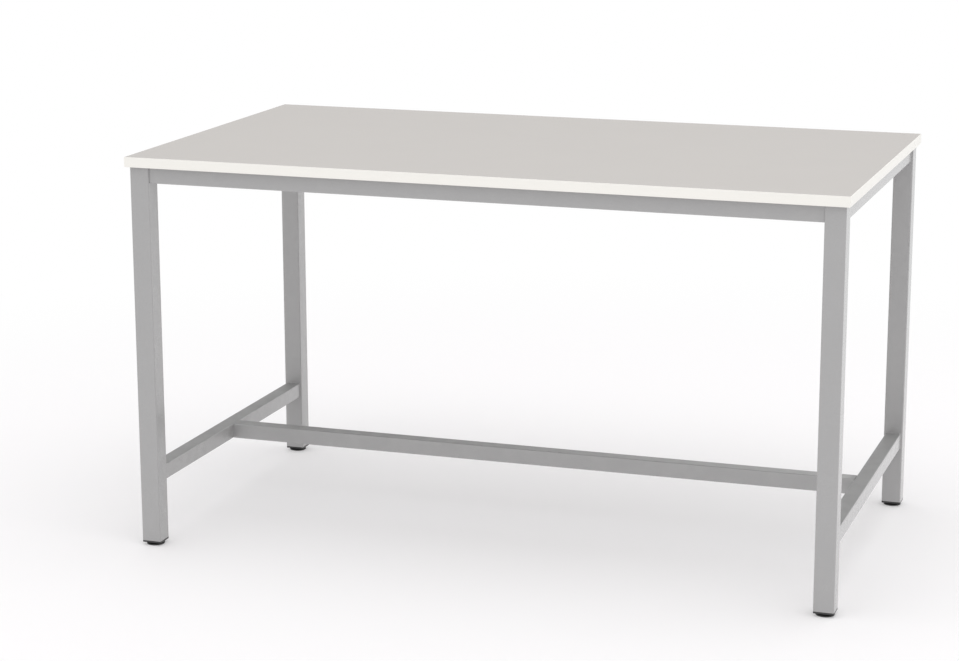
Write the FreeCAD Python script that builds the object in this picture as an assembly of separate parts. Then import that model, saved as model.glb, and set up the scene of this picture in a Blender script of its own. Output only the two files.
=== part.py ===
"""Standing meeting table: a laminated board on a frame of square steel tube.

Millimetres, +Z up.  The origin is on the floor, under the middle of the board.
+X runs along the board's length and -Y is the front.
"""
import FreeCAD, Part
import math
import os

Vector = FreeCAD.Vector

# ---------------------------------------------------------------- overall sizes
TABLE_LENGTH = 1800.0
TABLE_DEPTH = 1000.0
TABLE_HEIGHT = 1000.0
OVERHANG = 10.0

# ---------------------------------------------------------------- board
BOARD_THICKNESS = 25.0
LAMINATE_THICKNESS = 0.8
BAND_THICKNESS = 1.0
BAND_EDGE_RADIUS = 0.8

# ---------------------------------------------------------------- square tube
LEG_SIDE = 50.0
LEG_WALL = 2.0
LEG_CORNER_RADIUS = 3.0
RAIL_WIDTH = 40.0
RAIL_HEIGHT = 40.0
RAIL_WALL = 2.0
RAIL_CORNER_RADIUS = 3.0
LOWER_RAIL_LEVEL = 163.0
BEAM_WIDTH = 40.0
BEAM_HEIGHT = 25.0
BEAM_WALL = 1.5
BEAM_CORNER_RADIUS = 2.5

# ---------------------------------------------------------------- M6 screws and rivet nuts
SCREW_RADIUS = 3.0
SCREW_LENGTH = 12.0
SCREW_HEAD_RADIUS = 5.25
SCREW_HEAD_HEIGHT = 3.3
SCREW_CROWN_RADIUS = 2.0
SCREW_SOCKET_FLATS = 4.0
SCREW_SOCKET_DEPTH = 2.0
NUT_BODY_RADIUS = 4.5
NUT_LENGTH = 11.0
NUT_FLANGE_RADIUS = 6.5
NUT_FLANGE_THICKNESS = 0.8

# ---------------------------------------------------------------- wood screws
WOOD_SCREW_RADIUS = 2.25
WOOD_SCREW_LENGTH = 18.0
WOOD_POINT_LENGTH = 4.5
WOOD_TIP_RADIUS = 0.45
WOOD_HEAD_RADIUS = 4.25
WOOD_HEAD_HEIGHT = 2.4
WOOD_HEAD_ROUNDING = 1.2
WOOD_SOCKET_WIDTH = 1.0
WOOD_SOCKET_LENGTH = 4.5
WOOD_SOCKET_DEPTH = 1.4

# ---------------------------------------------------------------- corner brackets
CORNER_THICKNESS = 3.0
CORNER_HEIGHT = 28.0
CORNER_WING = 60.0
CORNER_SETBACK = 45.0
CORNER_HOLE_PITCH = 30.0
CORNER_BEND_RADIUS = 3.0

# ---------------------------------------------------------------- angles for the cross beam
ANGLE_THICKNESS = 3.0
ANGLE_HEIGHT = 20.0
ANGLE_LEG = 35.0
ANGLE_BEND_RADIUS = 3.0

# ---------------------------------------------------------------- cleats under the board
CLEAT_THICKNESS = 2.5
CLEAT_WIDTH = 30.0
CLEAT_LEG = 26.0
CLEAT_BEND_RADIUS = 2.5
CLEATS_ON_LONG_RAIL = 4
CLEATS_ON_END_RAIL = 2

# ---------------------------------------------------------------- spigots in the foot rail
SPIGOT_LENGTH = 70.0
SPIGOT_WALL = 2.5
SPIGOT_CORNER_RADIUS = 3.0
SPIGOT_EDGE_DISTANCE = 18.0
SPIGOT_HOLE_PITCH = 32.0

# ---------------------------------------------------------------- leg inserts
INSERT_FLANGE = 4.5
INSERT_DEPTH = 25.0
INSERT_WALL = 2.5
INSERT_BOSS_RADIUS = 10.0
BUSH_RADIUS = 7.0
BUSH_FLOOR = 1.0

# ---------------------------------------------------------------- levelling feet
STUD_RADIUS = 5.0
STUD_ABOVE_COLLAR = 34.0
STUD_POINT = 1.0
COLLAR_FLATS = 14.0
COLLAR_HEIGHT = 2.4
STUD_HEAD_RADIUS = 8.0
STUD_HEAD_HEIGHT = 1.8
BASE_RADIUS = 23.0
BASE_TOP_RADIUS = 16.0
BASE_THICKNESS = 4.6
BASE_RIM = 2.8
BASE_EDGE_RADIUS = 0.6
SOLE_RADIUS = 20.5
SOLE_THICKNESS = 2.0
SOLE_PROUD = 0.8

# ---------------------------------------------------------------- clearances
THREAD_GAP = 0.05
RUNNING_GAP = 0.08
PRESSED_GAP = 0.05
INSERT_GAP = 0.15
SCREW_HOLE_GAP = 0.3
SPIGOT_GAP = 0.4
SWIVEL_GAP = 0.2
FOOT_STOP_GAP = 0.5

# ---------------------------------------------------------------- modelling margins
CUT_MARGIN = 1.0
LEAST_CORNER_RADIUS = 0.5
TOLERANCE = 0.1

# ---------------------------------------------------------------- levels and places
UNDER_BOARD = TABLE_HEIGHT - BOARD_THICKNESS
BASE_BOTTOM = SOLE_PROUD
BASE_TOP = BASE_BOTTOM + BASE_THICKNESS
COLLAR_BOTTOM = BASE_TOP + SWIVEL_GAP
COLLAR_TOP = COLLAR_BOTTOM + COLLAR_HEIGHT
INSERT_BOTTOM = COLLAR_TOP + FOOT_STOP_GAP
LEG_BOTTOM = INSERT_BOTTOM + INSERT_FLANGE

LEG_X = TABLE_LENGTH / 2 - OVERHANG - LEG_SIDE / 2
LEG_Y = TABLE_DEPTH / 2 - OVERHANG - LEG_SIDE / 2
LEG_INNER_X = LEG_X - LEG_SIDE / 2
LEG_INNER_Y = LEG_Y - LEG_SIDE / 2
RAIL_INNER_X = LEG_X - RAIL_WIDTH / 2
RAIL_INNER_Y = LEG_Y - RAIL_WIDTH / 2
TOP_RAIL_Z = UNDER_BOARD - RAIL_HEIGHT / 2
LOWER_RAIL_Z = LOWER_RAIL_LEVEL + RAIL_HEIGHT / 2
BEAM_Z = UNDER_BOARD - BEAM_HEIGHT / 2
SPIGOT_BOTTOM = LOWER_RAIL_LEVEL + RAIL_WALL + NUT_FLANGE_THICKNESS
SPIGOT_TOP = LOWER_RAIL_LEVEL + RAIL_HEIGHT - RAIL_WALL - SPIGOT_GAP

X_AXIS = Vector(1, 0, 0)
Y_AXIS = Vector(0, 1, 0)
Z_AXIS = Vector(0, 0, 1)
CORNERS = {
    "front_left": (-1, -1),
    "front_right": (1, -1),
    "back_left": (-1, 1),
    "back_right": (1, 1),
}


# ---------------------------------------------------------------- shape helpers
def outline(corners):
    """Closed wire through (x, y, radius) corners, each rounded by its radius."""
    count = len(corners)
    starts = []
    middles = []
    ends = []
    for index in range(count):
        x, y, radius = corners[index]
        before = corners[index - 1]
        after = corners[(index + 1) % count]
        here = Vector(x, y, 0)
        back = (Vector(before[0], before[1], 0) - here).normalize()
        ahead = (Vector(after[0], after[1], 0) - here).normalize()
        half_angle = back.getAngle(ahead) / 2
        inward = (back + ahead).normalize()
        reach = radius / math.tan(half_angle)
        centre = here + inward * (radius / math.sin(half_angle))
        starts.append(here + back * reach)
        middles.append(centre - inward * radius)
        ends.append(here + ahead * reach)
    edges = []
    for index in range(count):
        if corners[index][2] > 0:
            edges.append(Part.Arc(starts[index], middles[index], ends[index]).toShape())
        following = starts[(index + 1) % count]
        edges.append(Part.LineSegment(ends[index], following).toShape())
    return Part.Wire(edges)


def rectangle(width, height, radius):
    """Rounded rectangle about the origin, as a wire."""
    half_w = width / 2
    half_h = height / 2
    corners = [
        (-half_w, -half_h, radius),
        (half_w, -half_h, radius),
        (half_w, half_h, radius),
        (-half_w, half_h, radius),
    ]
    return outline(corners)


def bar(wire, length):
    """Solid of an outline, from z = 0 up."""
    return Part.Face(wire).extrude(Z_AXIS * length)


def inner_corner(radius, wall):
    """Radius inside the corner of a tube with a given outer radius and wall."""
    return max(radius - wall, LEAST_CORNER_RADIUS)


def tube(width, height, length, wall, radius):
    """Square tube from z = 0 up, with its width along X and its height along Y."""
    outer = rectangle(width, height, radius)
    inner = rectangle(width - 2 * wall, height - 2 * wall, inner_corner(radius, wall))
    return bar(outer, length).cut(bar(inner, length))


def lying_along_x(shape, centre):
    """Turn a bar from Z to X, upright, with its middle length at the centre."""
    turn = FreeCAD.Rotation(Y_AXIS, Z_AXIS, X_AXIS, "ZXY")
    return laid(shape, turn, centre)


def lying_along_y(shape, centre):
    """Turn a bar from Z to Y, upright, with its middle length at the centre."""
    turn = FreeCAD.Rotation(-X_AXIS, Z_AXIS, Y_AXIS, "ZXY")
    return laid(shape, turn, centre)


def laid(shape, turn, centre):
    """Turn a bar that stands on z = 0 and bring its middle to the centre."""
    middle = Vector(0, 0, shape.BoundBox.ZLength / 2)
    return moved(shape, centre - turn.multVec(middle), turn)


def moved(shape, place, turn=FreeCAD.Rotation()):
    """Copy of a shape, turned and then placed."""
    copy = shape.copy()
    copy.Placement = FreeCAD.Placement(place, turn)
    return copy


def pointing(shape, place, direction):
    """Copy of a shape whose +Z points in the direction, with its origin at the place."""
    return moved(shape, place, FreeCAD.Rotation(Z_AXIS, direction))


def cylinder(radius, height, bottom=0.0):
    """Upright cylinder about Z from the bottom level up."""
    return Part.makeCylinder(radius, height, Vector(0, 0, bottom))


def hexagon(across_flats, height, bottom=0.0):
    """Upright hexagonal prism about Z."""
    reach = across_flats / math.sqrt(3)
    points = []
    for index in range(6):
        angle = math.radians(60 * index + 30)
        points.append(Vector(reach * math.cos(angle), reach * math.sin(angle), bottom))
    return Part.Face(Part.makePolygon(points + points[:1])).extrude(Z_AXIS * height)


def box(low, high):
    """Box between two corners."""
    size = high - low
    return Part.makeBox(size.x, size.y, size.z, low)


def group(shapes):
    """Separate solids kept together as one sub-part."""
    return Part.makeCompound(shapes)


def save(name, shape):
    """Write one sub-part and report its solids."""
    shape.exportStep("parts/" + name + ".step")
    print(name, len(shape.Solids), "solid(s), valid:", shape.isValid())


# ---------------------------------------------------------------- fasteners
def machine_screw():
    """M6 button-head screw, head up, with the underside of its head at z = 0."""
    head = cylinder(SCREW_HEAD_RADIUS, SCREW_HEAD_HEIGHT)
    crown = [edge for edge in head.Edges if edge.BoundBox.ZMin > SCREW_HEAD_HEIGHT / 2]
    head = head.makeFillet(SCREW_CROWN_RADIUS, crown[:1])
    shank = cylinder(SCREW_RADIUS, SCREW_LENGTH, -SCREW_LENGTH)
    socket_bottom = SCREW_HEAD_HEIGHT - SCREW_SOCKET_DEPTH
    socket = hexagon(SCREW_SOCKET_FLATS, SCREW_HEAD_HEIGHT, socket_bottom)
    return head.fuse(shank).cut(socket).removeSplitter()


def rivet_nut():
    """M6 rivet nut with the outer face of its flange at z = 0 and its body below."""
    length = NUT_FLANGE_THICKNESS + NUT_LENGTH
    flange = cylinder(NUT_FLANGE_RADIUS, NUT_FLANGE_THICKNESS, -NUT_FLANGE_THICKNESS)
    body = cylinder(NUT_BODY_RADIUS, length, -length)
    bore = cylinder(SCREW_RADIUS + THREAD_GAP, length, -length)
    return flange.fuse(body).cut(bore).removeSplitter()


def wood_screw():
    """Pan-head wood screw, point up, with the seat of its head at z = 0."""
    head = cylinder(WOOD_HEAD_RADIUS, WOOD_HEAD_HEIGHT, -WOOD_HEAD_HEIGHT)
    rim = [edge for edge in head.Edges if edge.BoundBox.ZMax < -WOOD_HEAD_HEIGHT / 2]
    head = head.makeFillet(WOOD_HEAD_ROUNDING, rim[:1])
    straight = WOOD_SCREW_LENGTH - WOOD_POINT_LENGTH
    shank = cylinder(WOOD_SCREW_RADIUS, straight)
    tip_bottom = Vector(0, 0, straight)
    tip = Part.makeCone(WOOD_SCREW_RADIUS, WOOD_TIP_RADIUS, WOOD_POINT_LENGTH, tip_bottom)
    screw = head.fuse([shank, tip])
    half_l = WOOD_SOCKET_LENGTH / 2
    half_w = WOOD_SOCKET_WIDTH / 2
    low = -WOOD_HEAD_HEIGHT
    high = low + WOOD_SOCKET_DEPTH
    slot_x = box(Vector(-half_l, -half_w, low), Vector(half_l, half_w, high))
    slot_y = box(Vector(-half_w, -half_l, low), Vector(half_w, half_l, high))
    return screw.cut([slot_x, slot_y]).removeSplitter()


class Fixing:
    """One machine screw through a plate or wall into a rivet nut in the tube behind it."""

    def __init__(self, place, outward, plate):
        self.place = place
        self.outward = outward
        self.plate = plate

    def nut(self):
        """Rivet nut with its flange on the tube's face."""
        seat = self.place + self.outward * NUT_FLANGE_THICKNESS
        return pointing(rivet_nut(), seat, self.outward)

    def screw(self):
        """Screw with its head on the plate's outer face."""
        seat = self.place + self.outward * (NUT_FLANGE_THICKNESS + self.plate)
        return pointing(machine_screw(), seat, self.outward)

    def wall_hole(self, wall):
        """Cutter for the hole in the tube wall."""
        depth = wall + CUT_MARGIN
        cutter = cylinder(NUT_BODY_RADIUS + PRESSED_GAP, depth + CUT_MARGIN, -depth)
        return pointing(cutter, self.place, self.outward)

    def plate_hole(self):
        """Cutter for the hole in the plate."""
        length = NUT_FLANGE_THICKNESS + self.plate + CUT_MARGIN
        cutter = cylinder(SCREW_RADIUS + SCREW_HOLE_GAP, length)
        return pointing(cutter, self.place, self.outward)


def drilled(tube_shape, fixings, wall):
    """Tube with a hole for the rivet nut of each fixing."""
    return tube_shape.cut([fixing.wall_hole(wall) for fixing in fixings])


def punched(plate_shape, fixings):
    """Plate with a hole for the screw of each fixing."""
    return plate_shape.cut([fixing.plate_hole() for fixing in fixings])


# ---------------------------------------------------------------- board
def cleat_places():
    """Places on the inner faces of the top rails, with the way each one faces."""
    places = []
    long_pitch = 2 * LEG_INNER_X / (CLEATS_ON_LONG_RAIL + 1)
    for index in range(CLEATS_ON_LONG_RAIL):
        x = -LEG_INNER_X + long_pitch * (index + 1)
        for side in (-1, 1):
            places.append((Vector(x, side * RAIL_INNER_Y, UNDER_BOARD), -Y_AXIS * side))
    end_pitch = 2 * LEG_INNER_Y / (CLEATS_ON_END_RAIL + 1)
    for index in range(CLEATS_ON_END_RAIL):
        y = -LEG_INNER_Y + end_pitch * (index + 1)
        for side in (-1, 1):
            places.append((Vector(side * RAIL_INNER_X, y, UNDER_BOARD), -X_AXIS * side))
    return places


def wood_screw_seat(place, inward):
    """Seat of the wood screw on the underside of a cleat."""
    reach = NUT_FLANGE_THICKNESS + (CLEAT_LEG + CLEAT_THICKNESS) / 2
    return place + inward * reach - Z_AXIS * CLEAT_THICKNESS


def board_layer(bottom, top, cutters=()):
    """Layer of the board inside the edge band."""
    half_x = TABLE_LENGTH / 2 - BAND_THICKNESS
    half_y = TABLE_DEPTH / 2 - BAND_THICKNESS
    layer = box(Vector(-half_x, -half_y, bottom), Vector(half_x, half_y, top))
    if cutters:
        layer = layer.cut(list(cutters))
    return layer


def build_board():
    """Core, both laminates and the four strips of edge band."""
    pilot = cylinder(WOOD_SCREW_RADIUS + THREAD_GAP, WOOD_SCREW_LENGTH + THREAD_GAP)
    pilots = [moved(pilot, wood_screw_seat(*spot)) for spot in cleat_places()]
    core_bottom = UNDER_BOARD + LAMINATE_THICKNESS
    core_top = TABLE_HEIGHT - LAMINATE_THICKNESS
    save("worktop_core", board_layer(core_bottom, core_top, pilots))
    save("worktop_top_laminate", board_layer(core_top, TABLE_HEIGHT))
    save("worktop_bottom_laminate", board_layer(UNDER_BOARD, core_bottom, pilots))

    half_x = TABLE_LENGTH / 2
    half_y = TABLE_DEPTH / 2
    slab = box(Vector(-half_x, -half_y, UNDER_BOARD), Vector(half_x, half_y, TABLE_HEIGHT))
    slab = slab.makeFillet(BAND_EDGE_RADIUS, slab.Edges)
    inner_x = half_x - BAND_THICKNESS
    inner_y = half_y - BAND_THICKNESS
    strips = {
        "edge_band_front": (-half_x, half_x, -half_y, -inner_y),
        "edge_band_back": (-half_x, half_x, inner_y, half_y),
        "edge_band_left": (-half_x, -inner_x, -inner_y, inner_y),
        "edge_band_right": (inner_x, half_x, -inner_y, inner_y),
    }
    for name, (x0, x1, y0, y1) in strips.items():
        cutter = box(Vector(x0, y0, UNDER_BOARD), Vector(x1, y1, TABLE_HEIGHT))
        save(name, slab.common(cutter))


# ---------------------------------------------------------------- fixings by place
def corner_fixings(side_x, side_y):
    """Four fixings of a corner bracket: two on the long rail, then two on the end rail."""
    margin = (CORNER_WING - CORNER_HOLE_PITCH) / 2
    fixings = []
    for step in (0, 1):
        x = side_x * (LEG_INNER_X - CORNER_SETBACK - margin - step * CORNER_HOLE_PITCH)
        place = Vector(x, side_y * RAIL_INNER_Y, TOP_RAIL_Z)
        fixings.append(Fixing(place, -Y_AXIS * side_y, CORNER_THICKNESS))
    for step in (0, 1):
        y = side_y * (LEG_INNER_Y - CORNER_SETBACK - margin - step * CORNER_HOLE_PITCH)
        place = Vector(side_x * RAIL_INNER_X, y, TOP_RAIL_Z)
        fixings.append(Fixing(place, -X_AXIS * side_x, CORNER_THICKNESS))
    return fixings


def cleat_fixings():
    """The machine screw that holds each cleat to its rail."""
    drop = (CLEAT_LEG + CLEAT_THICKNESS) / 2
    fixings = []
    for place, inward in cleat_places():
        fixings.append(Fixing(place - Z_AXIS * drop, inward, CLEAT_THICKNESS))
    return fixings


def angle_fixings(side_x, side_y):
    """Two fixings of a beam angle: one on the long rail, one on the beam."""
    along = NUT_FLANGE_THICKNESS + (ANGLE_LEG + ANGLE_THICKNESS) / 2
    on_rail = Vector(side_x * (BEAM_WIDTH / 2 + along), side_y * RAIL_INNER_Y, BEAM_Z)
    on_beam = Vector(side_x * BEAM_WIDTH / 2, side_y * (RAIL_INNER_Y - along), BEAM_Z)
    return [
        Fixing(on_rail, -Y_AXIS * side_y, ANGLE_THICKNESS),
        Fixing(on_beam, X_AXIS * side_x, ANGLE_THICKNESS),
    ]


def spigot_fixings(side):
    """Two fixings up through the foot rail's lower wall into a spigot."""
    fixings = []
    for step in (0, 1):
        reach = SPIGOT_LENGTH - SPIGOT_EDGE_DISTANCE - step * SPIGOT_HOLE_PITCH
        place = Vector(side * (RAIL_INNER_X - reach), 0, SPIGOT_BOTTOM)
        fixings.append(Fixing(place, -Z_AXIS, RAIL_WALL))
    return fixings


CORNER_FIXINGS = {name: corner_fixings(*signs) for name, signs in CORNERS.items()}
ANGLE_FIXINGS = {name: angle_fixings(*signs) for name, signs in CORNERS.items()}
CLEAT_FIXINGS = cleat_fixings()
SPIGOT_FIXINGS = {"left": spigot_fixings(-1), "right": spigot_fixings(1)}


# ---------------------------------------------------------------- frame
def rail_tube(length):
    """Rail section of a given length, standing on z = 0."""
    return tube(RAIL_WIDTH, RAIL_HEIGHT, length, RAIL_WALL, RAIL_CORNER_RADIUS)


def build_legs():
    """Four legs from the insert's flange up to the board."""
    length = UNDER_BOARD - LEG_BOTTOM
    leg = tube(LEG_SIDE, LEG_SIDE, length, LEG_WALL, LEG_CORNER_RADIUS)
    for name, (side_x, side_y) in CORNERS.items():
        save("leg_" + name, moved(leg, Vector(side_x * LEG_X, side_y * LEG_Y, LEG_BOTTOM)))


def on_face(fixings, axis, side):
    """Fixings on the rail at one side of the table, which face its middle along an axis."""
    return [fixing for fixing in fixings if fixing.outward.isEqual(-axis * side, TOLERANCE)]


def build_top_rails():
    """Long rails and end rails under the board, between the legs."""
    bolts = [fixing for corner in CORNER_FIXINGS.values() for fixing in corner]
    bolts += [pair[0] for pair in ANGLE_FIXINGS.values()]
    bolts += CLEAT_FIXINGS
    long_rail = rail_tube(2 * LEG_INNER_X)
    end_rail = rail_tube(2 * LEG_INNER_Y)
    for name, side in (("front", -1), ("back", 1)):
        rail = lying_along_x(long_rail, Vector(0, side * LEG_Y, TOP_RAIL_Z))
        save("top_rail_" + name, drilled(rail, on_face(bolts, Y_AXIS, side), RAIL_WALL))
    for name, side in (("left", -1), ("right", 1)):
        rail = lying_along_y(end_rail, Vector(side * LEG_X, 0, TOP_RAIL_Z))
        save("top_rail_" + name, drilled(rail, on_face(bolts, X_AXIS, side), RAIL_WALL))


def build_lower_rails():
    """Two lower rails, each with a spigot, and the long foot rail over both spigots."""
    end_rail = rail_tube(2 * LEG_INNER_Y)
    width = RAIL_WIDTH - 2 * (RAIL_WALL + SPIGOT_GAP)
    height = SPIGOT_TOP - SPIGOT_BOTTOM
    stub = tube(width, height, SPIGOT_LENGTH, SPIGOT_WALL, SPIGOT_CORNER_RADIUS)
    for name, side in (("left", -1), ("right", 1)):
        rail = lying_along_y(end_rail, Vector(side * LEG_X, 0, LOWER_RAIL_Z))
        save("lower_rail_" + name, rail)
        middle_x = side * (RAIL_INNER_X - SPIGOT_LENGTH / 2)
        middle = Vector(middle_x, 0, (SPIGOT_BOTTOM + SPIGOT_TOP) / 2)
        spigot = drilled(lying_along_x(stub, middle), SPIGOT_FIXINGS[name], SPIGOT_WALL)
        save("foot_rail_spigot_" + name, spigot)
    rail = lying_along_x(rail_tube(2 * RAIL_INNER_X), Vector(0, 0, LOWER_RAIL_Z))
    save("foot_rail", punched(rail, SPIGOT_FIXINGS["left"] + SPIGOT_FIXINGS["right"]))


def build_beam():
    """Cross beam under the middle of the board, with its four angles."""
    section = tube(BEAM_WIDTH, BEAM_HEIGHT, 2 * RAIL_INNER_Y, BEAM_WALL, BEAM_CORNER_RADIUS)
    beam = lying_along_y(section, Vector(0, 0, BEAM_Z))
    on_beam = [pair[1] for pair in ANGLE_FIXINGS.values()]
    save("centre_beam", drilled(beam, on_beam, BEAM_WALL))
    angles = []
    for name, (side_x, side_y) in CORNERS.items():
        angles.append(punched(beam_angle(side_x, side_y), ANGLE_FIXINGS[name]))
    save("beam_brackets", group(angles))


def bent_angle(leg, thickness, bend_radius):
    """L outline with its outer corner at the origin and its legs along +X and +Y."""
    outer_radius = bend_radius + thickness
    corners = [
        (0, 0, outer_radius),
        (leg, 0, 0),
        (leg, thickness, 0),
        (thickness, thickness, bend_radius),
        (thickness, leg, 0),
        (0, leg, 0),
    ]
    return outline(corners)


def beam_angle(side_x, side_y):
    """One angle in the corner between the beam and a long rail."""
    angle = bar(bent_angle(ANGLE_LEG, ANGLE_THICKNESS, ANGLE_BEND_RADIUS), ANGLE_HEIGHT)
    across = X_AXIS * side_x
    inward = -Y_AXIS * side_y
    if side_x == side_y:
        turn = FreeCAD.Rotation(inward, across, Z_AXIS, "ZXY")
    else:
        turn = FreeCAD.Rotation(across, inward, Z_AXIS, "ZXY")
    corner_x = side_x * (BEAM_WIDTH / 2 + NUT_FLANGE_THICKNESS)
    corner_y = side_y * (RAIL_INNER_Y - NUT_FLANGE_THICKNESS)
    return moved(angle, Vector(corner_x, corner_y, BEAM_Z - ANGLE_HEIGHT / 2), turn)


def corner_bracket(side_x, side_y):
    """Bent plate across one corner, with a wing on each rail."""
    face_x = RAIL_INNER_X - NUT_FLANGE_THICKNESS
    face_y = RAIL_INNER_Y - NUT_FLANGE_THICKNESS
    bend_x = LEG_INNER_X - CORNER_SETBACK
    bend_y = LEG_INNER_Y - CORNER_SETBACK
    web_angle = math.atan2(face_y - bend_y, face_x - bend_x)
    shift_x = CORNER_THICKNESS * math.tan(web_angle / 2)
    shift_y = CORNER_THICKNESS * math.tan((math.pi / 2 - web_angle) / 2)
    outer_radius = CORNER_BEND_RADIUS + CORNER_THICKNESS
    corners = [
        (bend_x - CORNER_WING, face_y, 0),
        (bend_x, face_y, CORNER_BEND_RADIUS),
        (face_x, bend_y, CORNER_BEND_RADIUS),
        (face_x, bend_y - CORNER_WING, 0),
        (face_x - CORNER_THICKNESS, bend_y - CORNER_WING, 0),
        (face_x - CORNER_THICKNESS, bend_y - shift_y, outer_radius),
        (bend_x - shift_x, face_y - CORNER_THICKNESS, outer_radius),
        (bend_x - CORNER_WING, face_y - CORNER_THICKNESS, 0),
    ]
    signed = [(side_x * x, side_y * y, radius) for x, y, radius in corners]
    plate = bar(outline(signed), CORNER_HEIGHT)
    return moved(plate, Vector(0, 0, TOP_RAIL_Z - CORNER_HEIGHT / 2))


def build_corner_brackets():
    """Four corner brackets under the board."""
    for name, signs in CORNERS.items():
        save("corner_bracket_" + name, punched(corner_bracket(*signs), CORNER_FIXINGS[name]))


def build_cleats():
    """Angle cleats between the top rails and the underside of the board."""
    section = bent_angle(CLEAT_LEG, CLEAT_THICKNESS, CLEAT_BEND_RADIUS)
    angle = moved(bar(section, CLEAT_WIDTH), Vector(0, 0, -CLEAT_WIDTH / 2))
    through = CLEAT_THICKNESS + 2 * CUT_MARGIN
    hole = cylinder(WOOD_SCREW_RADIUS + SCREW_HOLE_GAP, through, -CUT_MARGIN)
    cleats = []
    for (place, inward), fixing in zip(cleat_places(), CLEAT_FIXINGS):
        turn = FreeCAD.Rotation(inward, -Z_AXIS, inward.cross(-Z_AXIS), "ZXY")
        cleat = moved(angle, place + inward * NUT_FLANGE_THICKNESS, turn)
        cleat = cleat.cut(moved(hole, wood_screw_seat(place, inward)))
        cleats.append(punched(cleat, [fixing]))
    save("worktop_cleats", group(cleats))
    wood = wood_screw()
    screws = [moved(wood, wood_screw_seat(*spot)) for spot in cleat_places()]
    save("worktop_screws", group(screws))


def build_fixings():
    """All machine screws, by the joint that they hold, and all rivet nuts."""
    families = {
        "corner_screws": [f for corner in CORNER_FIXINGS.values() for f in corner],
        "beam_screws": [f for pair in ANGLE_FIXINGS.values() for f in pair],
        "foot_rail_screws": SPIGOT_FIXINGS["left"] + SPIGOT_FIXINGS["right"],
        "cleat_screws": CLEAT_FIXINGS,
    }
    nuts = []
    for name, fixings in families.items():
        save(name, group([fixing.screw() for fixing in fixings]))
        nuts += [fixing.nut() for fixing in fixings]
    save("rivet_nuts", group(nuts))


# ---------------------------------------------------------------- feet
def leg_insert():
    """Square plug with a flange as large as the leg, a boss for the bush and four ribs."""
    bore = LEG_SIDE - 2 * LEG_WALL
    side = bore - 2 * INSERT_GAP
    corner = inner_corner(LEG_CORNER_RADIUS, LEG_WALL)
    flange = bar(rectangle(LEG_SIDE, LEG_SIDE, LEG_CORNER_RADIUS), INSERT_FLANGE)
    skirt = tube(side, side, INSERT_DEPTH, INSERT_WALL, corner)
    boss = cylinder(INSERT_BOSS_RADIUS, INSERT_DEPTH)
    half_rib = INSERT_WALL / 2
    half_side = side / 2 - INSERT_WALL / 2
    rib_x = box(Vector(-half_side, -half_rib, 0), Vector(half_side, half_rib, INSERT_DEPTH))
    rib_y = box(Vector(-half_rib, -half_side, 0), Vector(half_rib, half_side, INSERT_DEPTH))
    inside = [moved(piece, Z_AXIS * INSERT_FLANGE) for piece in (skirt, boss, rib_x, rib_y)]
    body = flange.fuse(inside)
    full = INSERT_FLANGE + INSERT_DEPTH
    stud_hole = cylinder(STUD_RADIUS + SCREW_HOLE_GAP, full)
    bush_hole = cylinder(BUSH_RADIUS + PRESSED_GAP, full, BUSH_FLOOR)
    return body.cut([stud_hole, bush_hole]).removeSplitter()


def thread_bush():
    """Steel bush in the insert's boss, tapped for the stud."""
    length = INSERT_FLANGE + INSERT_DEPTH - BUSH_FLOOR
    body = cylinder(BUSH_RADIUS, length, BUSH_FLOOR)
    return body.cut(cylinder(STUD_RADIUS + RUNNING_GAP, length, BUSH_FLOOR))


def foot_stud():
    """Threaded stud with its spanner collar above the base and its head inside it."""
    head_bottom = SOLE_THICKNESS + SWIVEL_GAP / 2
    head = cylinder(STUD_HEAD_RADIUS, STUD_HEAD_HEIGHT, head_bottom)
    neck = cylinder(STUD_RADIUS, COLLAR_BOTTOM - head_bottom, head_bottom)
    collar = hexagon(COLLAR_FLATS, COLLAR_HEIGHT, COLLAR_BOTTOM)
    shank = cylinder(STUD_RADIUS, STUD_ABOVE_COLLAR - STUD_POINT, COLLAR_TOP)
    point_bottom = Vector(0, 0, COLLAR_TOP + STUD_ABOVE_COLLAR - STUD_POINT)
    point = Part.makeCone(STUD_RADIUS, STUD_RADIUS - STUD_POINT, STUD_POINT, point_bottom)
    return head.fuse([neck, collar, shank, point]).removeSplitter()


def foot_base():
    """Round base with a sloping top, a pocket for the stud's head and a recess for the sole."""
    rim_top = BASE_BOTTOM + BASE_RIM
    profile = [
        Vector(0, 0, BASE_BOTTOM),
        Vector(BASE_RADIUS, 0, BASE_BOTTOM),
        Vector(BASE_RADIUS, 0, rim_top),
        Vector(BASE_TOP_RADIUS, 0, BASE_TOP),
        Vector(0, 0, BASE_TOP),
    ]
    face = Part.Face(Part.makePolygon(profile + profile[:1]))
    body = face.revolve(Vector(0, 0, 0), Z_AXIS, 360)
    outer = [edge for edge in body.Edges if edge.BoundBox.XMax > BASE_RADIUS - TOLERANCE]
    circles = [edge for edge in outer if edge.BoundBox.ZLength < TOLERANCE]
    body = body.makeFillet(BASE_EDGE_RADIUS, circles)
    recess = cylinder(SOLE_RADIUS + PRESSED_GAP, SOLE_THICKNESS)
    pocket_top = SOLE_THICKNESS + STUD_HEAD_HEIGHT + SWIVEL_GAP
    pocket = cylinder(STUD_HEAD_RADIUS + RUNNING_GAP, pocket_top)
    hole = cylinder(STUD_RADIUS + RUNNING_GAP, BASE_TOP)
    return body.cut([recess, pocket, hole])


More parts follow.
